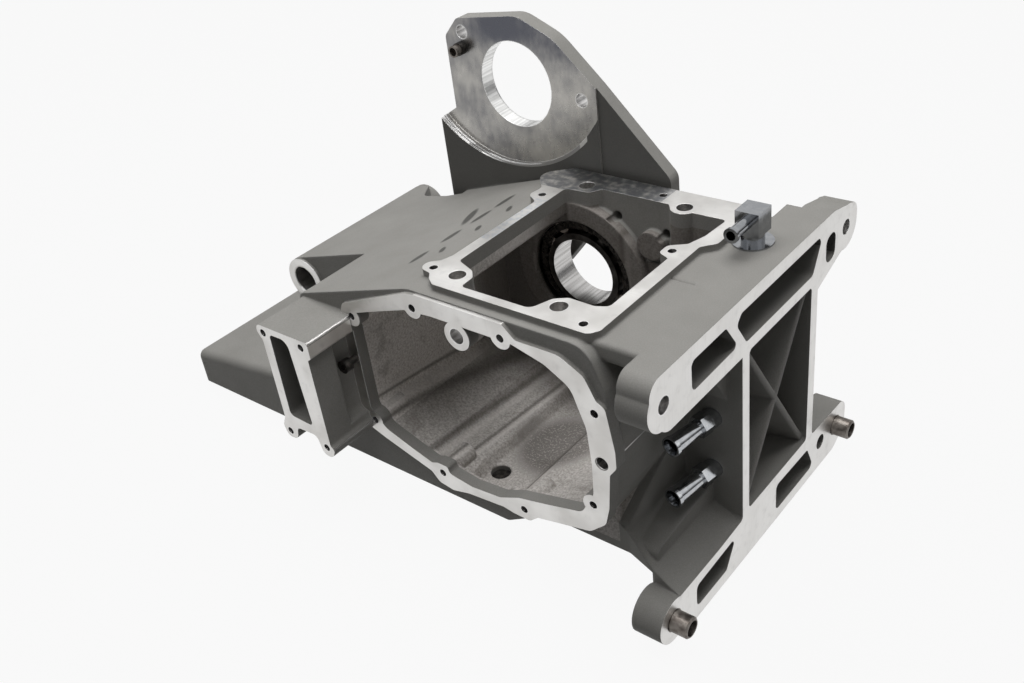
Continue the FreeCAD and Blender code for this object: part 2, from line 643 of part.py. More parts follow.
    # threaded seats of the fittings and plugs
    cuts.append(pin(vent_thread_r, "XY", vent_x, vent_y, deck_z - vent_thread_depth, deck_z + 1))
    for z in (hose_z_upper, hose_z_lower):
        cuts.append(revolve([(-hose_thread_depth, 0), (4, 0), (4, hose_thread_r), (-hose_thread_depth, hose_thread_r)],
                            V(hose_x, core_near_y, z), hose_axis))
    cuts.append(pin(drain_thread_r, "XY", drain_x, drain_y, drain_pad_z - 1, floor_z + 1))
    cuts.append(pin(side_screw_r, "XZ", side_screw_x, side_screw_z, door_face_y - 1, door_face_y + side_screw_depth))
    body = body.cut(cuts)
    body = body.cut(trim.cut(Part.makeBox(800, 400, 800, V(-400, starter_wall_y - 0.01, -400))))
    return body


def hexagon(across, base, axis, start, end):
    """Hexagonal prism along an axis, between two distances from the base."""
    prism = Part.Face(Part.makePolygon([V(across / math.sqrt(3) * math.cos(math.radians(60 * i)),
                                          across / math.sqrt(3) * math.sin(math.radians(60 * i)), start)
                                        for i in range(7)])).extrude(Z_AXIS * (end - start))
    prism.Placement = FreeCAD.Placement(base, FreeCAD.Rotation(Z_AXIS, axis)) * prism.Placement
    return prism


def tube(outer_r, inner_r, start, end):
    """Ring about the Y axis between two levels."""
    return revolve([(start, inner_r), (start, outer_r), (end, outer_r), (end, inner_r)], V(0, 0, 0), Y_AXIS)


def around(shape, count):
    """Copies of a shape spread evenly about the Y axis."""
    return [shape.rotated(V(0, 0, 0), Y_AXIS, 360.0 * i / count) for i in range(count)]


def cage_pocket(pitch, half_width, reach):
    """Flat-sided window for one roller at the pitch radius."""
    return Part.makeBox(2 * half_width, 2 * reach, 2 * half_width, V(pitch - half_width, -reach, -half_width))


def main_bearing():
    half = bearing_width / 2
    track = roller_length / 2 + 0.2
    race_out = roller_pitch_r + roller_r + roller_clearance
    race_in = roller_pitch_r - roller_r - roller_clearance
    outer = revolve([(-half, outer_flange_r), (-half, bearing_outer_r), (half, bearing_outer_r), (half, outer_flange_r),
                     (track, outer_flange_r), (track, race_out), (-track, race_out), (-track, outer_flange_r)],
                    V(0, 0, 0), Y_AXIS)
    inner = tube(race_in, bearing_bore_r, -half, half)
    roller = pin(roller_r, "XZ", roller_pitch_r, 0, -roller_length / 2, roller_length / 2)
    reach = roller_length / 2 + cage_pocket_clearance
    cage = tube(cage_outer_r, cage_inner_r, -reach - cage_side_t, reach + cage_side_t)
    cage = cage.cut(around(cage_pocket(roller_pitch_r, roller_r + cage_pocket_clearance, reach), roller_count))
    groove_r = bearing_outer_r + snap_groove_depth
    snap = tube(groove_r - 0.1, groove_r - snap_ring_height, half, half + snap_ring_width)
    reach = groove_r * math.tan(math.radians(snap_gap_angle / 2))
    gap = slab([(0, 0, 0), (-reach, groove_r + 1, 0), (reach, groove_r + 1, 0)], "XZ", half - 1,
               half + snap_ring_width + 1)
    return {"main_bearing_outer_ring": outer, "main_bearing_inner_ring": inner, "main_bearing_cage": cage,
            "main_bearing_rollers": Part.makeCompound(around(roller, roller_count)),
            "main_bearing_snap_ring": snap.cut(gap)}


def countershaft_bearing():
    half = cup_width / 2
    inner_r = cup_outer_r - cup_wall
    inside = half - cup_lip_t
    shell = revolve([(-half, cup_lip_r), (-half, cup_outer_r), (half, cup_outer_r), (half, cup_lip_r),
                     (inside, cup_lip_r), (inside, inner_r), (-inside, inner_r), (-inside, cup_lip_r)],
                    V(0, 0, 0), Y_AXIS)
    pitch = inner_r - needle_clearance - needle_r
    needle = pin(needle_r, "XZ", pitch, 0, -needle_length / 2, needle_length / 2)
    reach = needle_length / 2 + cage_pocket_clearance
    cage = tube(pitch + needle_cage_t / 2, pitch - needle_cage_t / 2, -reach - needle_cage_side,
                reach + needle_cage_side)
    cage = cage.cut(around(cage_pocket(pitch, needle_r + needle_pocket_clearance, reach), needle_count))
    pieces = {"countershaft_bearing_shell": shell, "countershaft_bearing_cage": cage,
              "countershaft_bearing_rollers": Part.makeCompound(around(needle, needle_count))}
    return {name: shape.translated(V(counter_x, 0, counter_z)) for name, shape in pieces.items()}


def vent_elbow():
    half = vent_block / 2
    block = Part.makeBox(vent_block, vent_block, vent_block_top - vent_block_low,
                         V(vent_x - half, vent_y - half, vent_block_low))
    washer_top = deck_z + vent_washer_t
    stem = pin(vent_stem_r, "XY", vent_x, vent_y, washer_top, vent_block_low)
    thread = pin(vent_thread_r, "XY", vent_x, vent_y, deck_z - vent_thread_depth, washer_top)
    seat = pin(vent_spigot_r, "XZ", vent_x, vent_barb_z, vent_y - half, vent_y - half + vent_spigot)
    way = pin(vent_bore_r, "XZ", vent_x, vent_barb_z, vent_y - half, vent_y)
    block = join([block, stem, thread]).cut([seat, way])
    washer = pin(vent_washer_r, "XY", vent_x, vent_y, deck_z, washer_top)
    washer = washer.cut(pin(vent_thread_r, "XY", vent_x, vent_y, deck_z, washer_top))
    end = vent_barb_length
    barb = revolve([(-vent_spigot, vent_bore_r), (-vent_spigot, vent_spigot_r), (0, vent_spigot_r), (0, vent_pipe_r),
                    (end - vent_bead, vent_pipe_r), (end - vent_bead, vent_bead_r), (end, vent_bead_r),
                    (end, vent_bore_r)], V(vent_x, vent_y - half, vent_barb_z), V(0, -1, 0))
    return {"vent_elbow_block": block, "vent_elbow_barb": barb, "vent_elbow_washer": washer}


def hose_fitting(prefix, z):
    base = V(hose_x, core_near_y, z)
    nose = hose_thread_out + hose_hex_t
    thread = revolve([(-hose_thread_depth, 0), (-hose_thread_depth, hose_thread_r), (hose_thread_out, hose_thread_r),
                      (hose_thread_out, 0)], base, hose_axis)
    adapter = join([thread, hexagon(hose_hex, base, hose_axis, hose_thread_out, nose)])
    seat = nose - hose_spigot
    adapter = adapter.cut(revolve([(-hose_thread_depth - 1, 0), (-hose_thread_depth - 1, hose_bore_r),
                                   (seat, hose_bore_r), (seat, hose_spigot_r), (nose + 1, hose_spigot_r),
                                   (nose + 1, 0)], base, hose_axis))
    end = nose + hose_pipe_length
    barb = revolve([(seat, hose_pipe_bore_r), (seat, hose_spigot_r), (nose, hose_spigot_r), (nose, hose_neck_r),
                    (end - hose_bead, hose_mouth_r), (end - hose_bead, hose_bead_r), (end, hose_bead_r),
                    (end, hose_flare_r), (end - hose_flare, hose_pipe_bore_r)], base, hose_axis)
    return {prefix + "_hose_adapter": adapter, prefix + "_hose_barb": barb}


def engine_dowels():
    pieces = {}
    for name, y in (("near", near_y), ("far", far_y)):
        start = V(engine_face_x - (dowel_length - dowel_stand), y, lower_z)
        c = dowel_chamfer
        face = dowel_length - dowel_stand
        pieces["engine_dowel_" + name] = revolve(
            [(0, dowel_bore_r), (0, dowel_seat_r), (face, dowel_seat_r), (face, dowel_neck_r),
             (face + dowel_neck, dowel_neck_r), (face + dowel_neck, dowel_outer_r), (dowel_length - c, dowel_outer_r),
             (dowel_length, dowel_outer_r - c), (dowel_length, dowel_bore_r)], start, V(1, 0, 0))
    return pieces


def starter_stud():
    seat = starter_face_y + stud_depth
    shank = pin(stud_r, "XZ", stud_x, stud_z, starter_face_y - stud_collar_t, seat)
    head = pin(stud_head_r, "XZ", stud_x, stud_z, starter_face_y - stud_stand, starter_face_y - stud_collar_t)
    bore = pin(stud_bore_r, "XZ", stud_x, stud_z, starter_face_y - stud_stand, starter_face_y - stud_collar_t)
    stud = join([shank, head]).cut(bore)
    collar = pin(stud_collar_r, "XZ", stud_x, stud_z, starter_face_y - stud_collar_t, starter_face_y)
    collar = collar.cut(pin(stud_r, "XZ", stud_x, stud_z, starter_face_y - stud_collar_t, starter_face_y))
    return {"starter_stud": stud, "starter_stud_collar": collar}


def spout_side_screw():
    front = side_screw_head_y
    head = pin(side_screw_head_r, "XZ", side_screw_x, side_screw_z, front, front + side_screw_head_t)
    shank = pin(side_screw_r, "XZ", side_screw_x, side_screw_z, front + side_screw_head_t, door_face_y + side_screw_depth)
    socket = hexagon(side_screw_socket, V(side_screw_x, front, side_screw_z), Y_AXIS, 0, side_screw_head_t / 2)
    return {"spout_side_screw": join([head, shank]).cut(socket)}


def drain():
    top = drain_pad_z - drain_washer_t
    head = hexagon(drain_hex, V(drain_x, drain_y, top - drain_head_t), Z_AXIS, 0, drain_head_t)
    thread = pin(drain_thread_r, "XY", drain_x, drain_y, top, drain_pad_z + drain_depth)
    socket = pin(drain_socket_r, "XY", drain_x, drain_y, top - drain_head_t, top - drain_head_t + drain_socket_depth)
    washer = pin(drain_washer_r, "XY", drain_x, drain_y, top, drain_pad_z)
    washer = washer.cut(pin(drain_thread_r, "XY", drain_x, drain_y, top, drain_pad_z))
    return {"drain_plug": join([head, thread]).cut(socket), "drain_plug_washer": washer}


pieces = {"housing": housing()}
for made in (main_bearing(), countershaft_bearing(), vent_elbow(), hose_fitting("upper", hose_z_upper),
             hose_fitting("lower", hose_z_lower), engine_dowels(), starter_stud(), spout_side_screw(), drain()):
    pieces.update(made)
for name, shape in pieces.items():
    if shape.ShapeType == "Compound" and len(shape.Solids) == 1:
        shape = shape.Solids[0]
    print(name, len(shape.Solids), shape.isValid(), round(shape.Volume), len(shape.Faces))
    shape.exportStep("parts/" + name + ".step")
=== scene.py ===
import math

import bpy
from mathutils import Matrix, Vector

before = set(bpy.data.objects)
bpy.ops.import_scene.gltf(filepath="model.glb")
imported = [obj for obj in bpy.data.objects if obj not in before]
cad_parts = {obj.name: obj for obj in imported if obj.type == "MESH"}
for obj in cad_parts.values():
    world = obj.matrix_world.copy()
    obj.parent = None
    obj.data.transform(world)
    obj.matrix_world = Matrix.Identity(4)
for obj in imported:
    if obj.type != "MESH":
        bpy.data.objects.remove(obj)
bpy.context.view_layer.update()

# Camera at the photograph's place: right of the side door, above it, looking down into the case.
# The three directions are those of the picture's right edge, its upper edge and the line of sight.
picture_right = Vector((0.77512, 0.62097, -0.11657))
picture_up = Vector((-0.26568, 0.48773, 0.83158))
camera = bpy.data.objects.new("camera", bpy.data.cameras.new("camera"))
camera.data.sensor_width = 36.0
camera.data.lens = 38.228
camera.data.clip_start = 0.02
camera.matrix_world = Matrix.Translation((0.4096, -0.5300, 0.3777)) @ Matrix(
    (picture_right, picture_up, picture_right.cross(picture_up))).transposed().to_4x4()
bpy.context.scene.collection.objects.link(camera)
bpy.context.scene.camera = camera
bpy.context.scene.view_settings.view_transform = "Standard"


# White table that the case rests on with its lower engine rail and the rear edge of its hood.
# The case's own axes lean against the table, so the table slopes in the case's frame.
class Value:
    """One number on its way through a material's nodes."""

    def __init__(self, surface, socket):
        self.surface, self.socket = surface, socket

    def math(self, operation, *others):
        return self.surface.number(operation, self, *others)

    def __add__(self, other): return self.math("ADD", other)
    def __radd__(self, other): return self.math("ADD", other)
    def __sub__(self, other): return self.math("SUBTRACT", other)
    def __rsub__(self, other): return self.surface.number("SUBTRACT", other, self)
    def __mul__(self, other): return self.math("MULTIPLY", other)
    def __rmul__(self, other): return self.math("MULTIPLY", other)
    def __truediv__(self, other): return self.math("DIVIDE", other)
    def __gt__(self, other): return self.math("GREATER_THAN", other)
    def __lt__(self, other): return self.math("LESS_THAN", other)
    def __or__(self, other): return self.math("MAXIMUM", other)
    def __abs__(self): return self.math("ABSOLUTE")

    def at(self, level, slack): return self.math("COMPARE", level, slack)

    def ramp(self, start, end, low=0.0, high=1.0):
        return self.surface.node("ShaderNodeMapRange", {"interpolation_type": "SMOOTHSTEP"},
                                 {"Value": self, "From Min": start, "From Max": end,
                                  "To Min": low, "To Max": high})


class Surface:
    """A material under construction. Lengths are in millimetres of the object's own coordinates."""

    def __init__(self, name, **fixed):
        self.material = bpy.data.materials.new(name)
        self.material.use_nodes = True
        self.tree = self.material.node_tree
        self.shader = self.tree.nodes["Principled BSDF"]
        self.set(**fixed)
        place = self.node("ShaderNodeTexCoord", {}, {}, "Object")
        self.place = self.node("ShaderNodeVectorMath", {"operation": "SCALE"},
                               {"Vector": place, "Scale": 1000.0}, "Vector")
        self.x, self.y, self.z = self.split(self.place)

    def node(self, kind, settings, inputs, output=0):
        made = self.tree.nodes.new(kind)
        for key, setting in settings.items():
            setattr(made, key, setting)
        for key, value in inputs.items():
            if isinstance(value, Value):
                self.tree.links.new(value.socket, made.inputs[key])
            else:
                made.inputs[key].default_value = value
        return Value(self, made.outputs[output])

    def number(self, operation, *values):
        return self.node("ShaderNodeMath", {"operation": operation}, dict(enumerate(values)))

    def split(self, vector):
        first = self.node("ShaderNodeSeparateXYZ", {}, {"Vector": vector}, "X")
        outputs = first.socket.node.outputs
        return first, Value(self, outputs["Y"]), Value(self, outputs["Z"])

    def noise(self, size, detail=2.0, stretch=(1, 1, 1), roughness=0.5, shift=(0, 0, 0)):
        place = self.node("ShaderNodeMapping", {},
                          {"Vector": self.place, "Scale": [s / size for s in stretch], "Location": shift},
                          "Vector")
        return self.node("ShaderNodeTexNoise", {"noise_dimensions": "3D"},
                         {"Vector": place, "Scale": 1.0, "Detail": detail, "Roughness": roughness}, "Fac")

    def mix(self, amount, first, second):
        made = self.tree.nodes.new("ShaderNodeMix")
        made.data_type = "RGBA"
        for key, value in ((0, amount), (6, first), (7, second)):
            if isinstance(value, Value):
                self.tree.links.new(value.socket, made.inputs[key])
            elif key:
                made.inputs[key].default_value = (*value, 1.0)
            else:
                made.inputs[key].default_value = value
        return Value(self, made.outputs[2])

    def set(self, **values):
        for key, value in values.items():
            socket = self.shader.inputs[key.replace("_", " ")]
            if isinstance(value, Value):
                self.tree.links.new(value.socket, socket)
            else:
                socket.default_value = (*value, 1.0) if hasattr(value, "__len__") else value


def seen_white(surface, share):
    """Share of pure white that camera, reflected and transmitted rays get from a surface."""
    path = surface.node("ShaderNodeLightPath", {}, {}, "Is Camera Ray")
    outputs = path.socket.node.outputs
    glossy = Value(surface, outputs["Is Glossy Ray"])
    through = Value(surface, outputs["Is Transmission Ray"])
    return (path | glossy | through) * share


table_high = Vector((-0.284, 0.0, -0.0995))
table_low = Vector((0.130, 0.0, -0.1390))
slope = (table_low - table_high).normalized()
table_mesh = bpy.data.meshes.new("table")
middle = (table_high + table_low) / 2
corners = [middle + slope * (6 * a) + Vector((0, 6 * b, 0)) for a, b in ((-1, -1), (1, -1), (1, 1), (-1, 1))]
table_mesh.from_pydata(corners, [], [(0, 1, 2, 3)])
table_top = bpy.data.objects.new("table", table_mesh)
bpy.context.scene.collection.objects.link(table_top)
white_table = Surface("white_table", Base_Color=(0.22, 0.22, 0.22), Roughness=0.9, Specular_IOR_Level=0.1)
glow = white_table.tree.nodes.new("ShaderNodeEmission")
blend = white_table.tree.nodes.new("ShaderNodeMixShader")
white_table.tree.links.new(seen_white(white_table, 0.93).socket, blend.inputs[0])
white_table.tree.links.new(white_table.shader.outputs[0], blend.inputs[1])
white_table.tree.links.new(glow.outputs[0], blend.inputs[2])
white_table.tree.links.new(blend.outputs[0], white_table.tree.nodes["Material Output"].inputs["Surface"])
table_mesh.materials.append(white_table.material)

# Soft studio light: one large box overhead, a weaker one from the camera's left, white surroundings.
# Reflections see a bright ceiling above darker walls; diffuse surfaces get a dim sky.
world = bpy.data.worlds.new("studio")
bpy.context.scene.world = world
world.use_nodes = True
sky = world.node_tree.nodes["Background"]
rays = world.node_tree.nodes.new("ShaderNodeLightPath")
direction = world.node_tree.nodes.new("ShaderNodeTexCoord")
heights = world.node_tree.nodes.new("ShaderNodeSeparateXYZ")
world.node_tree.links.new(direction.outputs["Generated"], heights.inputs[0])
ceiling = world.node_tree.nodes.new("ShaderNodeMapRange")
ceiling.interpolation_type = "SMOOTHSTEP"
world.node_tree.links.new(heights.outputs["Z"], ceiling.inputs["Value"])
for key, value in (("From Min", 0.08), ("From Max", 0.42), ("To Min", 0.10), ("To Max", 1.0)):
    ceiling.inputs[key].default_value = value
diffuse_level = 0.10
for ray, strength in (("Is Glossy Ray", ceiling.outputs["Result"]), ("Is Camera Ray", 1.0)):
    step = world.node_tree.nodes.new("ShaderNodeMix")
    world.node_tree.links.new(rays.outputs[ray], step.inputs[0])
    if ray == "Is Glossy Ray":
        step.inputs[2].default_value = diffuse_level
        world.node_tree.links.new(strength, step.inputs[3])
    else:
        world.node_tree.links.new(level, step.inputs[2])
        step.inputs[3].default_value = strength
    level = step.outputs[0]
world.node_tree.links.new(level, sky.inputs["Strength"])
sky.inputs["Color"].default_value = (1, 1, 1, 1)
for name, spot, aim, size, power in (
        ("overhead", (-0.05, 0.0, 1.30), (0.0, -0.02, 0.0), 1.2, 23.0),
        ("left_fill", (-0.3, -1.4, 0.85), (0.0, -0.05, 0.0), 0.8, 0.7),
        ("right_fill", (1.3, 0.1, 0.5), (0.05, -0.05, 0.0), 0.9, 1.0)):
    lamp = bpy.data.lights.new(name, "AREA")
    lamp.size = size
    lamp.energy = power
    lamp_object = bpy.data.objects.new(name, lamp)
    lamp_object.location = spot
    lamp_object.rotation_mode = "QUATERNION"
    lamp_object.rotation_quaternion = (Vector(aim) - Vector(spot)).to_track_quat("-Z", "Y")
    bpy.context.scene.collection.objects.link(lamp_object)

# The housing: one sand-cast aluminium body, blasted to an even warm grey, with its joint faces,
# seats and bores machined bright afterwards. The case's inside keeps its rough cast skin.
casting = Surface("blasted_and_machined_aluminium", IOR=1.5, Specular_IOR_Level=0.22)
x, y, z = casting.x, casting.y, casting.z
facing = casting.node("ShaderNodeNewGeometry", {}, {}, "True Normal")
nx, ny, nz = casting.split(facing)
cover_z, door_y, duct_y, engine_x, starter_y = 64.0, -159.0, -196.5, 160.0, 20.0
flat = 0.12       # how far a point may lie off a machined face
square = 0.9      # how squarely a machined face looks along its axis
door_side = ny < -square
cover_face = z.at(cover_z, flat) * (nz > square)
door_face = y.at(door_y, flat) * door_side
duct_face = y.at(duct_y, flat) * door_side
engine_face = x.at(engine_x, flat) * (nx > square)
pan_rim = z.at(-99.5, flat) * (nz < -square)
drive_face = y.at(16.0, flat) * (ny > square)
joint_bar = z.at(58.7, 0.1) * (nz > square) * (y < -149.9) * (x > -14.0) * (x < 60.0)


def from_axis(across, up_value, centre):
    """Distance from an axis through a centre, across it."""
    a = across - centre[0]
    b = up_value - centre[1]
    return (a * a + b * b).math("SQRT")


def from_holes(across, up_value, holes):
    """Distance outside the nearest hole's wall, below zero inside it. Holes are (across, up, radius)."""
    nearest = None
    for centre_across, centre_up, radius in holes:
        gap = from_axis(across, up_value, (centre_across, centre_up)) - radius
        nearest = gap if nearest is None else nearest.math("MINIMUM", gap)
    return nearest


spot = from_axis(x, z, (-74.0, 144.5))
starter_pad = y.at(starter_y, flat) * door_side * (spot < 86.2)
starter_seat = from_axis(x, z, (-66.7, 116.7)).at(30.5, 0.3) * (y > 15.0)
spot_wall = spot.at(87.1, 1.35) * (z < 100.0) * (y < 19.9) * (y > 12.0) * (x < -9.0)
pivot = from_axis(x, z, (-196.0, -13.0))
pivot_ends = (pivot < 18.2) * (y.at(-99.0, 0.2) | y.at(42.0, 0.2) | pivot.at(11.5, 0.3))
duct_band = y.at(-178.0, 18.4) * (x > -75.6) * (x < -74.0) * (z > 13.0) * (z < 25.6)
thread_r = 2.6
on_wall = 0.2     # how far a point may lie off a hole's wall
door_threads = from_holes(x, z, [(u, v, thread_r) for u, v in (
    (-73.2, 25.1), (-14.5, 48.5), (54.0, 48.5), (116.0, 18.9), (109.0, -50.3), (53.5, -80.1), (-15.3, -80.1),
    (-73.2, -58.3))])
door_bores = from_holes(x, z, ((118.0, -15.5, 3.9), (19.7, 39.0, 5.1)))
cover_threads = from_holes(x, y, [(u, v, thread_r) for u, v in (
    (-15.3, -134.7), (-15.3, -26.1), (102.0, -143.2), (102.0, -53.4), (58.3, 7.0))])
cover_bores = from_holes(x, y, [(u, v, 5.3) for u in (4.2, 79.5) for v in (-135.0, -2.0)])
duct_threads = from_holes(x, z, [(u, v, thread_r) for u in (-118.75, -82.25) for v in (-60.0, 20.0)])
starter_holes = from_holes(x, z, ((-111.0, 149.0, 4.65), (-11.2, 113.0, 4.65)))
stud_holes = from_holes(y, z, [(u, v, 5.2) for u in (-157.05, 58.45) for v in (-118.45, 40.05)])
thread_walls = ((door_threads.at(0.0, on_wall) * (y < -135.0)) | (cover_threads.at(0.0, on_wall) * (z > 46.0))
                | (duct_threads.at(0.0, on_wall) * (y < -180.0)))
bore_walls = ((door_bores.at(0.0, on_wall) * (y < -90.0)) | (cover_bores.at(0.0, on_wall) * (z > 46.0))
              | (starter_holes.at(0.0, on_wall) * (y > 19.0)) | (stud_holes.at(0.0, on_wall) * (x > 128.0)))
hole_walls = thread_walls | bore_walls
rims = ((door_threads.at(0.25, 0.3) * door_face) | (cover_threads.at(0.25, 0.3) * cover_face)
        | (duct_threads.at(0.25, 0.3) * duct_face) | (door_bores.at(0.25, 0.3) * door_face)
        | (cover_bores.at(0.25, 0.3) * cover_face) | (stud_holes.at(0.3, 0.4) * engine_face)
        | (starter_holes.at(0.3, 0.35) * starter_pad))
faces = cover_face | door_face | duct_face | engine_face | pan_rim | drive_face | pivot_ends | joint_bar
machined = faces | starter_pad | starter_seat | spot_wall | duct_band | hole_walls
under_deck = (x + 19.0).math("MINIMUM", 0.0) * 0.31 + 54.0
inside = (y > -150.5) * (y < -5.5) * (x > -75.5) * (x < 112.0) * (z > -93.5) * (z - under_deck < 0.0)

# Cast edges are well rounded, and edges beside a machined face are nearly sharp.
near_cut = (z.at(cover_z, 2.5) | y.at(door_y, 2.4) | y.at(duct_y, 2.0) | x.at(engine_x, 2.0)
            | (y.at(starter_y, 2.0) * (z > 58.0)))
cast_radius, cut_radius = 0.0022, 0.0004
rounded = casting.node("ShaderNodeBevel", {"samples": 4},
                       {"Radius": cast_radius - near_cut * (cast_radius - cut_radius)}, "Normal")
sharpness = casting.node("ShaderNodeVectorMath", {"operation": "DOT_PRODUCT"},
                         {0: rounded, 1: facing}, "Value")
edge = sharpness.ramp(0.97, 0.80)

# Blasted skin: warm grey with a fine grain, a little lighter on its edges, partly from wear and partly as a
# painted highlight.
# The inside keeps a rough, brighter skin with dark patches where the sand core left it.
cloud = casting.noise(38.0, 3.0)
grain = casting.noise(0.7, 2.0, roughness=0.6)
pits = casting.noise(1.5, 3.0, roughness=0.65)
stain = casting.noise(16.0, 4.0, shift=(3, 7, 1))
tone = (cloud - 0.5) * 0.16 + (grain - 0.5) * 0.34 + (stain - 0.5) * 0.10 + 0.5
cast_grey = casting.mix(tone.ramp(0.2, 0.8), (0.165, 0.160, 0.148), (0.300, 0.294, 0.278))
core_skin = casting.mix(pits.ramp(0.3, 0.7), (0.33, 0.307, 0.285), (0.58, 0.555, 0.53))
# Painted light: the rear wall inside the case gets a lighter copy of the skin, standing in for light it does
# not get.
rear_wall = (nx > 0.6) * (x < -40.0)
rear_wall_painted_light = casting.mix(pits.ramp(0.3, 0.7), (0.60, 0.555, 0.52), (0.95, 0.91, 0.87))
core_skin = casting.mix(rear_wall * 0.7, core_skin, rear_wall_painted_light)
dark_patch = casting.noise(21.0, 4.0, shift=(5, 1, 2), roughness=0.65).ramp(0.54, 0.70)
core_skin = casting.mix(dark_patch * 0.40, core_skin, (0.17, 0.150, 0.133))

# Rounded ridges run along the case's floor and slope down its rear wall, as the core left them. Their crowns
# carry a painted highlight and the strip beside each a painted shadow.
ridges = None
for offset, ridge_width in ((x + 23.3 - (y + 83.0) * 0.0567, 4.5), (x + 8.0 - (y + 83.0) * 0.0567, 3.0),
                            (x - 41.0, 3.5), (z + 51.2 + (y + 156.6) * 0.095, 4.5),
                            (z + 41.0 + (y + 156.6) * 0.095, 2.6)):
    ridge = abs(offset).ramp(ridge_width, 0.0)
    ridges = ridge if ridges is None else ridges | ridge
    ridge_painted_shadow = (offset + ridge_width * 1.2).math("ABSOLUTE").ramp(ridge_width * 0.8, 0.0)
    # Painted light: the ridge's crown is lightened as a painted highlight, the strip beside it darkened as a
    # painted shadow.
    core_skin = casting.mix(ridge * 0.45, core_skin, (0.78, 0.745, 0.71))
    core_skin = casting.mix(ridge_painted_shadow * 0.65, core_skin, (0.09, 0.08, 0.07))
ridges = ridges * inside * (z < -30.0)
# Painted shade darkens the skin towards the far wall, and the floor beside the drain is gritty.
far_wall_painted_shade = y.ramp(-68.0, -25.0) * 0.75
core_skin = casting.mix(far_wall_painted_shade, core_skin, (0.085, 0.074, 0.064))
gritty = from_axis(x, y, (30.0, -85.0)).ramp(42.0, 24.0) * pits.ramp(0.36, 0.50) * (z < -70.0)
core_skin = casting.mix(gritty * 0.75, core_skin, (0.07, 0.062, 0.055))
# The near side of the starter plate, round and below its pad, is darkened as painted shade.
plate_wall_painted_shade = door_side * (y > -2.0) * (z > 20.0)
cast_grey = casting.mix(plate_wall_painted_shade * 0.62, cast_grey, (0.03, 0.03, 0.028))
cast_grey = casting.mix(inside, cast_grey, core_skin)

# Shallow core marks on the rear deck, left and right of the line where it starts to fall: dented by bump and
# darkened with painted shade in the dents.
core_marks_and_shade = None
for mark_x, mark_y, length, width, turn in (
        (-54.0, -110.0, 11.0, 3.0, 0.0), (-54.0, -78.0, 12.0, 3.2, 0.0), (-54.0, -47.0, 13.0, 3.0, 0.0),
        (-54.0, -21.0, 13.0, 3.2, 0.0), (-66.5, -45.0, 19.0, 4.0, -0.4), (-41.0, -100.6, 6.0, 2.4, -0.5),
        (-38.0, -68.0, 6.0, 2.4, -0.5), (-36.0, -37.7, 7.0, 2.4, -0.5)):
    a = x - mark_x
    b = y - mark_y
    along = (a * math.sin(turn) + b * math.cos(turn)) / length
    across = (a * math.cos(turn) - b * math.sin(turn)) / width
    mark_and_shade = (along * along + across * across).ramp(1.0, 0.3)
    core_marks_and_shade = mark_and_shade if core_marks_and_shade is None else core_marks_and_shade | mark_and_shade
core_marks_and_shade = core_marks_and_shade * (nz > 0.5) * (z > 20.0)
# Painted shade: the dents are darkened as if their walls were in shade.
cast_grey = casting.mix(core_marks_and_shade * 0.85, cast_grey, (0.035, 0.034, 0.031))
# Edges outside the case are lightened, partly as wear and partly as a painted highlight.
cast_grey = casting.mix(edge * (1 - inside) * 0.25, cast_grey, (0.42, 0.41, 0.40))

# Cutter marks, stains and fine scratches on the machined faces.
mill = casting.noise(26.0, 2.0, shift=(11, 2, 5))
blotch = casting.noise(7.0, 4.0, shift=(4, 4, 4), roughness=0.6)
scratch = casting.noise(0.9, 2.0, stretch=(0.05, 1.0, 0.05))
brushed = casting.noise(1.6, 2.0, stretch=(1.0, 0.03, 1.0))
bright_metal = casting.mix(mill.ramp(0.3, 0.7), (0.56, 0.548, 0.528), (0.70, 0.69, 0.672))
bright_metal = casting.mix(engine_face * 0.6, bright_metal, (0.74, 0.73, 0.715))
bright_metal = casting.mix(blotch.ramp(0.50, 0.80) * 0.35, bright_metal, (0.42, 0.41, 0.40))
bright_metal = casting.mix((scratch - 0.5).ramp(0.0, 0.3) * 0.2, bright_metal, (0.50, 0.49, 0.48))
oily = cover_face * (y > -14.0) * (x < 62.0) * casting.noise(5.0, 3.0, shift=(8, 2, 2)).ramp(0.25, 0.60)
bright_metal = casting.mix(oily * 0.8, bright_metal, (0.16, 0.17, 0.19))
blue = cover_face * y.at(-62.0, 30.0) * (x < 0.0) * casting.noise(3.0, 2.0, shift=(2, 6, 2)).ramp(0.35, 0.65)
bright_metal = casting.mix(blue * 0.5, bright_metal, (0.42, 0.46, 0.52))

# The starter pad is fly-cut; its colour is darker and bluish at the rear and along its top, and lighter to
# the right.
swirl = casting.noise(30.0, 3.0, shift=(1, 1, 9))
smear = casting.noise(6.0, 4.0, stretch=(1.0, 1.0, 0.45), shift=(1, 3, 2), roughness=0.6)
top_band_line = (x + 60.0) * (x + 60.0) * -0.0045 + 145.6
darker_along_top = (top_band_line - z).ramp(12.0, -10.0) * (x + 118.0).ramp(0.0, 38.0)
pad_tone = (x + 127.0) * 0.0026 + (swirl - 0.5) * 1.1 + (smear - 0.5) * 0.55 + 0.45 - darker_along_top * 0.55
pad_colour = casting.mix(pad_tone.ramp(0.0, 1.0), (0.10, 0.103, 0.12), (0.47, 0.455, 0.425))
bright_metal = casting.mix(starter_pad, bright_metal, pad_colour)
bright_metal = casting.mix(spot_wall * (y < 19.3), bright_metal, (0.30, 0.295, 0.29))
bright_metal = casting.mix(starter_seat, bright_metal,
                           casting.mix(brushed.ramp(0.35, 0.65), (0.62, 0.62, 0.61), (0.90, 0.90, 0.89)))
thread = ((x + y + z) * math.tau).math("SINE")     # one line per millimetre
reamed = casting.mix(brushed.ramp(0.3, 0.7), (0.46, 0.455, 0.45), (0.72, 0.71, 0.70))
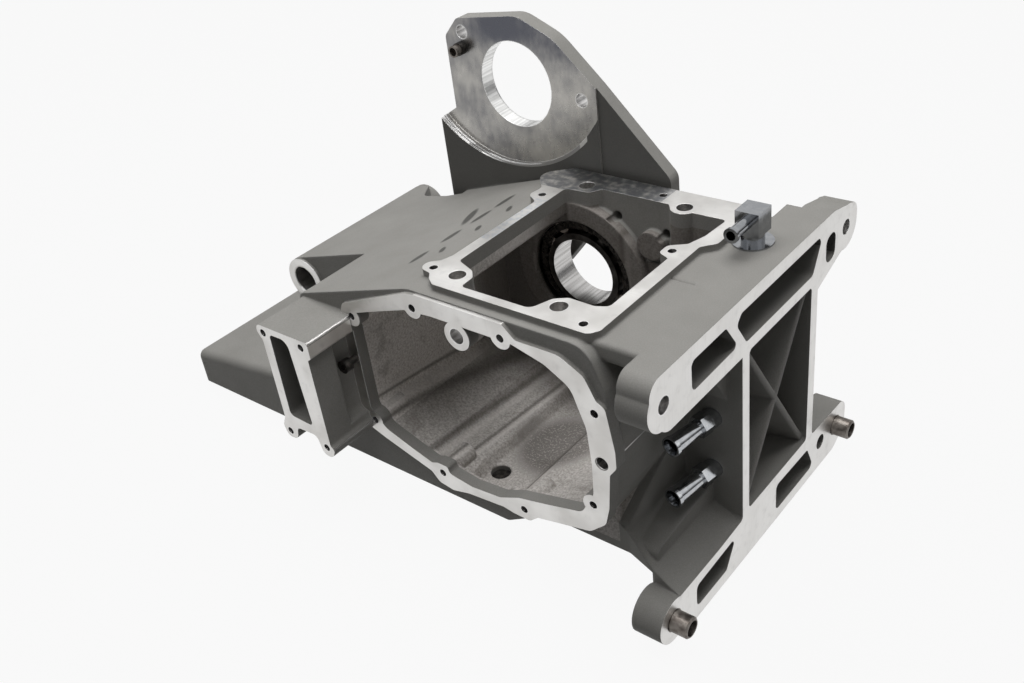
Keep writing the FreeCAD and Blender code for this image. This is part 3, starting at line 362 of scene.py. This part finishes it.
# Painted light on the tapped walls: dark thread roots as painted shade, light crests as painted highlight.
threads_painted_light = casting.mix(thread * 0.5 + 0.5, (0.08, 0.078, 0.075), (0.50, 0.49, 0.48))
bright_metal = casting.mix(bore_walls, bright_metal, reamed)
bright_metal = casting.mix(thread_walls, bright_metal, threads_painted_light)
# Painted highlight: hole rims and the edges of the machined faces are lightened.
bright_metal = casting.mix((rims * 0.35) | (edge * 0.5), bright_metal, (0.90, 0.90, 0.89))
cast_roughness = 0.62 + (grain - 0.5) * 0.10
cut_roughness = 0.34 - starter_pad * 0.06 + (mill - 0.5) * 0.12 + (blotch - 0.5) * 0.12
casting.set(Base_Color=casting.mix(machined, cast_grey, bright_metal), Metallic=machined,
            Roughness=cast_roughness * (1 - machined) + machined * cut_roughness)
relief = (grain - 0.5) * 0.05 + (pits - 0.5) * inside * 0.30 - core_marks_and_shade * 0.9 + ridges * 1.1
tool_marks = (scratch - 0.5) * 0.02 + (blotch - 0.5) * 0.01
height = relief * (1 - machined) + tool_marks * machined + thread * thread_walls * 0.12
casting.set(Normal=casting.node("ShaderNodeBump", {}, {"Strength": 0.6, "Distance": 0.001, "Height": height,
                                                       "Normal": rounded}, "Normal"))


def dress(node, surface):
    """Give a node of the frame one material."""
    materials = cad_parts[node].data.materials
    materials.clear()
    materials.append(surface.material)


dress("housing", casting)

# The main bearing: ground rings with a dark face and a bright bore, a black pressed cage,
# and rollers between them. It is pressed into the far wall behind a snap ring.
rings = Surface("ground_bearing_steel", Metallic=1.0)
radius = from_axis(rings.x, rings.z, (0.0, 0.0))
bore = radius < 25.2
film = rings.noise(9.0, 3.0)
ground = rings.noise(2.2, 2.0, stretch=(1.0, 0.03, 1.0))
bore_colour = rings.mix(ground.ramp(0.3, 0.7), (0.40, 0.39, 0.38), (0.62, 0.61, 0.60))
dark_face_colour = rings.mix(film.ramp(0.3, 0.7), (0.045, 0.043, 0.04), (0.10, 0.095, 0.09))
rings.set(Base_Color=rings.mix(bore, dark_face_colour, bore_colour),
          Roughness=0.30 - bore * 0.04 + (film - 0.5) * 0.1)
cage_metal = Surface("black_cage_steel", Metallic=0.8)
oil = cage_metal.noise(3.0, 2.0)
cage_metal.set(Base_Color=cage_metal.mix(oil.ramp(0.3, 0.7), (0.018, 0.017, 0.016), (0.05, 0.045, 0.04)),
               Roughness=oil.ramp(0.3, 0.7, 0.18, 0.35))
roller_metal = Surface("polished_roller_steel", Metallic=1.0)
shine = roller_metal.noise(5.0, 2.0)
roller_metal.set(Base_Color=roller_metal.mix(shine, (0.35, 0.33, 0.31), (0.60, 0.57, 0.54)),
                 Roughness=shine.ramp(0.2, 0.8, 0.08, 0.16))
for node, surface in (("main_bearing_outer_ring", rings), ("main_bearing_inner_ring", rings),
                      ("main_bearing_cage", cage_metal), ("main_bearing_rollers", roller_metal),
                      ("main_bearing_snap_ring", cage_metal),
                      ("countershaft_bearing_shell", roller_metal),
                      ("countershaft_bearing_cage", cage_metal),
                      ("countershaft_bearing_rollers", roller_metal)):
    dress(node, surface)

# Vent elbow and the two hose fittings: turned and milled steel with a bright zinc plate,
# screwed into the deck and into the rib wall.
plate = Surface("bright_zinc_plate", Metallic=1.0)
haze = plate.noise(4.0, 3.0)
dirt = plate.noise(2.2, 3.0, shift=(4, 0, 1), roughness=0.6)
plate_colour = plate.mix(haze.ramp(0.3, 0.7), (0.40, 0.415, 0.435), (0.50, 0.51, 0.525))
# Painted shade: the plate is darkened on the parts above the deck.
plate_colour = plate.mix((plate.z > 60.0) * 0.45, plate_colour, (0.10, 0.105, 0.115))
plate.set(Base_Color=plate.mix(dirt.ramp(0.55, 0.75) * 0.5, plate_colour, (0.22, 0.22, 0.22)),
          Roughness=haze.ramp(0.2, 0.8, 0.08, 0.20))
for node in ("vent_elbow_block", "vent_elbow_barb", "vent_elbow_washer", "upper_hose_adapter",
             "upper_hose_barb", "lower_hose_adapter", "lower_hose_barb", "drain_plug_washer"):
    dress(node, plate)

# Hollow engine dowels: turned steel with a dull brown-grey oxide.
dowel = Surface("dull_dowel_steel", Metallic=0.9)
rust = dowel.noise(5.0, 4.0)
lathe = dowel.noise(0.45, 1.0, stretch=(1.0, 0.05, 0.05))
dowel.set(Base_Color=dowel.mix(rust.ramp(0.3, 0.7), (0.10, 0.085, 0.075), (0.24, 0.22, 0.20)),
          Roughness=rust.ramp(0.2, 0.8, 0.30, 0.5),
          Normal=dowel.node("ShaderNodeBump", {},
                            {"Strength": 0.5, "Distance": 0.001, "Height": (lathe - 0.5) * 0.05}, "Normal"))

# Small blackened steel pieces: the stud's collar, the socket-head screw beside the duct block and
# the drain plug, all turned, oxidised black and screwed or pressed in.
black = Surface("black_oxide_steel", Metallic=0.7)
wear = black.noise(3.0, 3.0)
black.set(Base_Color=black.mix(wear.ramp(0.4, 0.8), (0.03, 0.028, 0.026), (0.10, 0.09, 0.08)),
          Roughness=wear.ramp(0.2, 0.8, 0.3, 0.5))
for node, surface in (("engine_dowel_near", dowel), ("engine_dowel_far", dowel), ("starter_stud", dowel),
                      ("starter_stud_collar", black), ("spout_side_screw", black), ("drain_plug", black)):
    dress(node, surface)
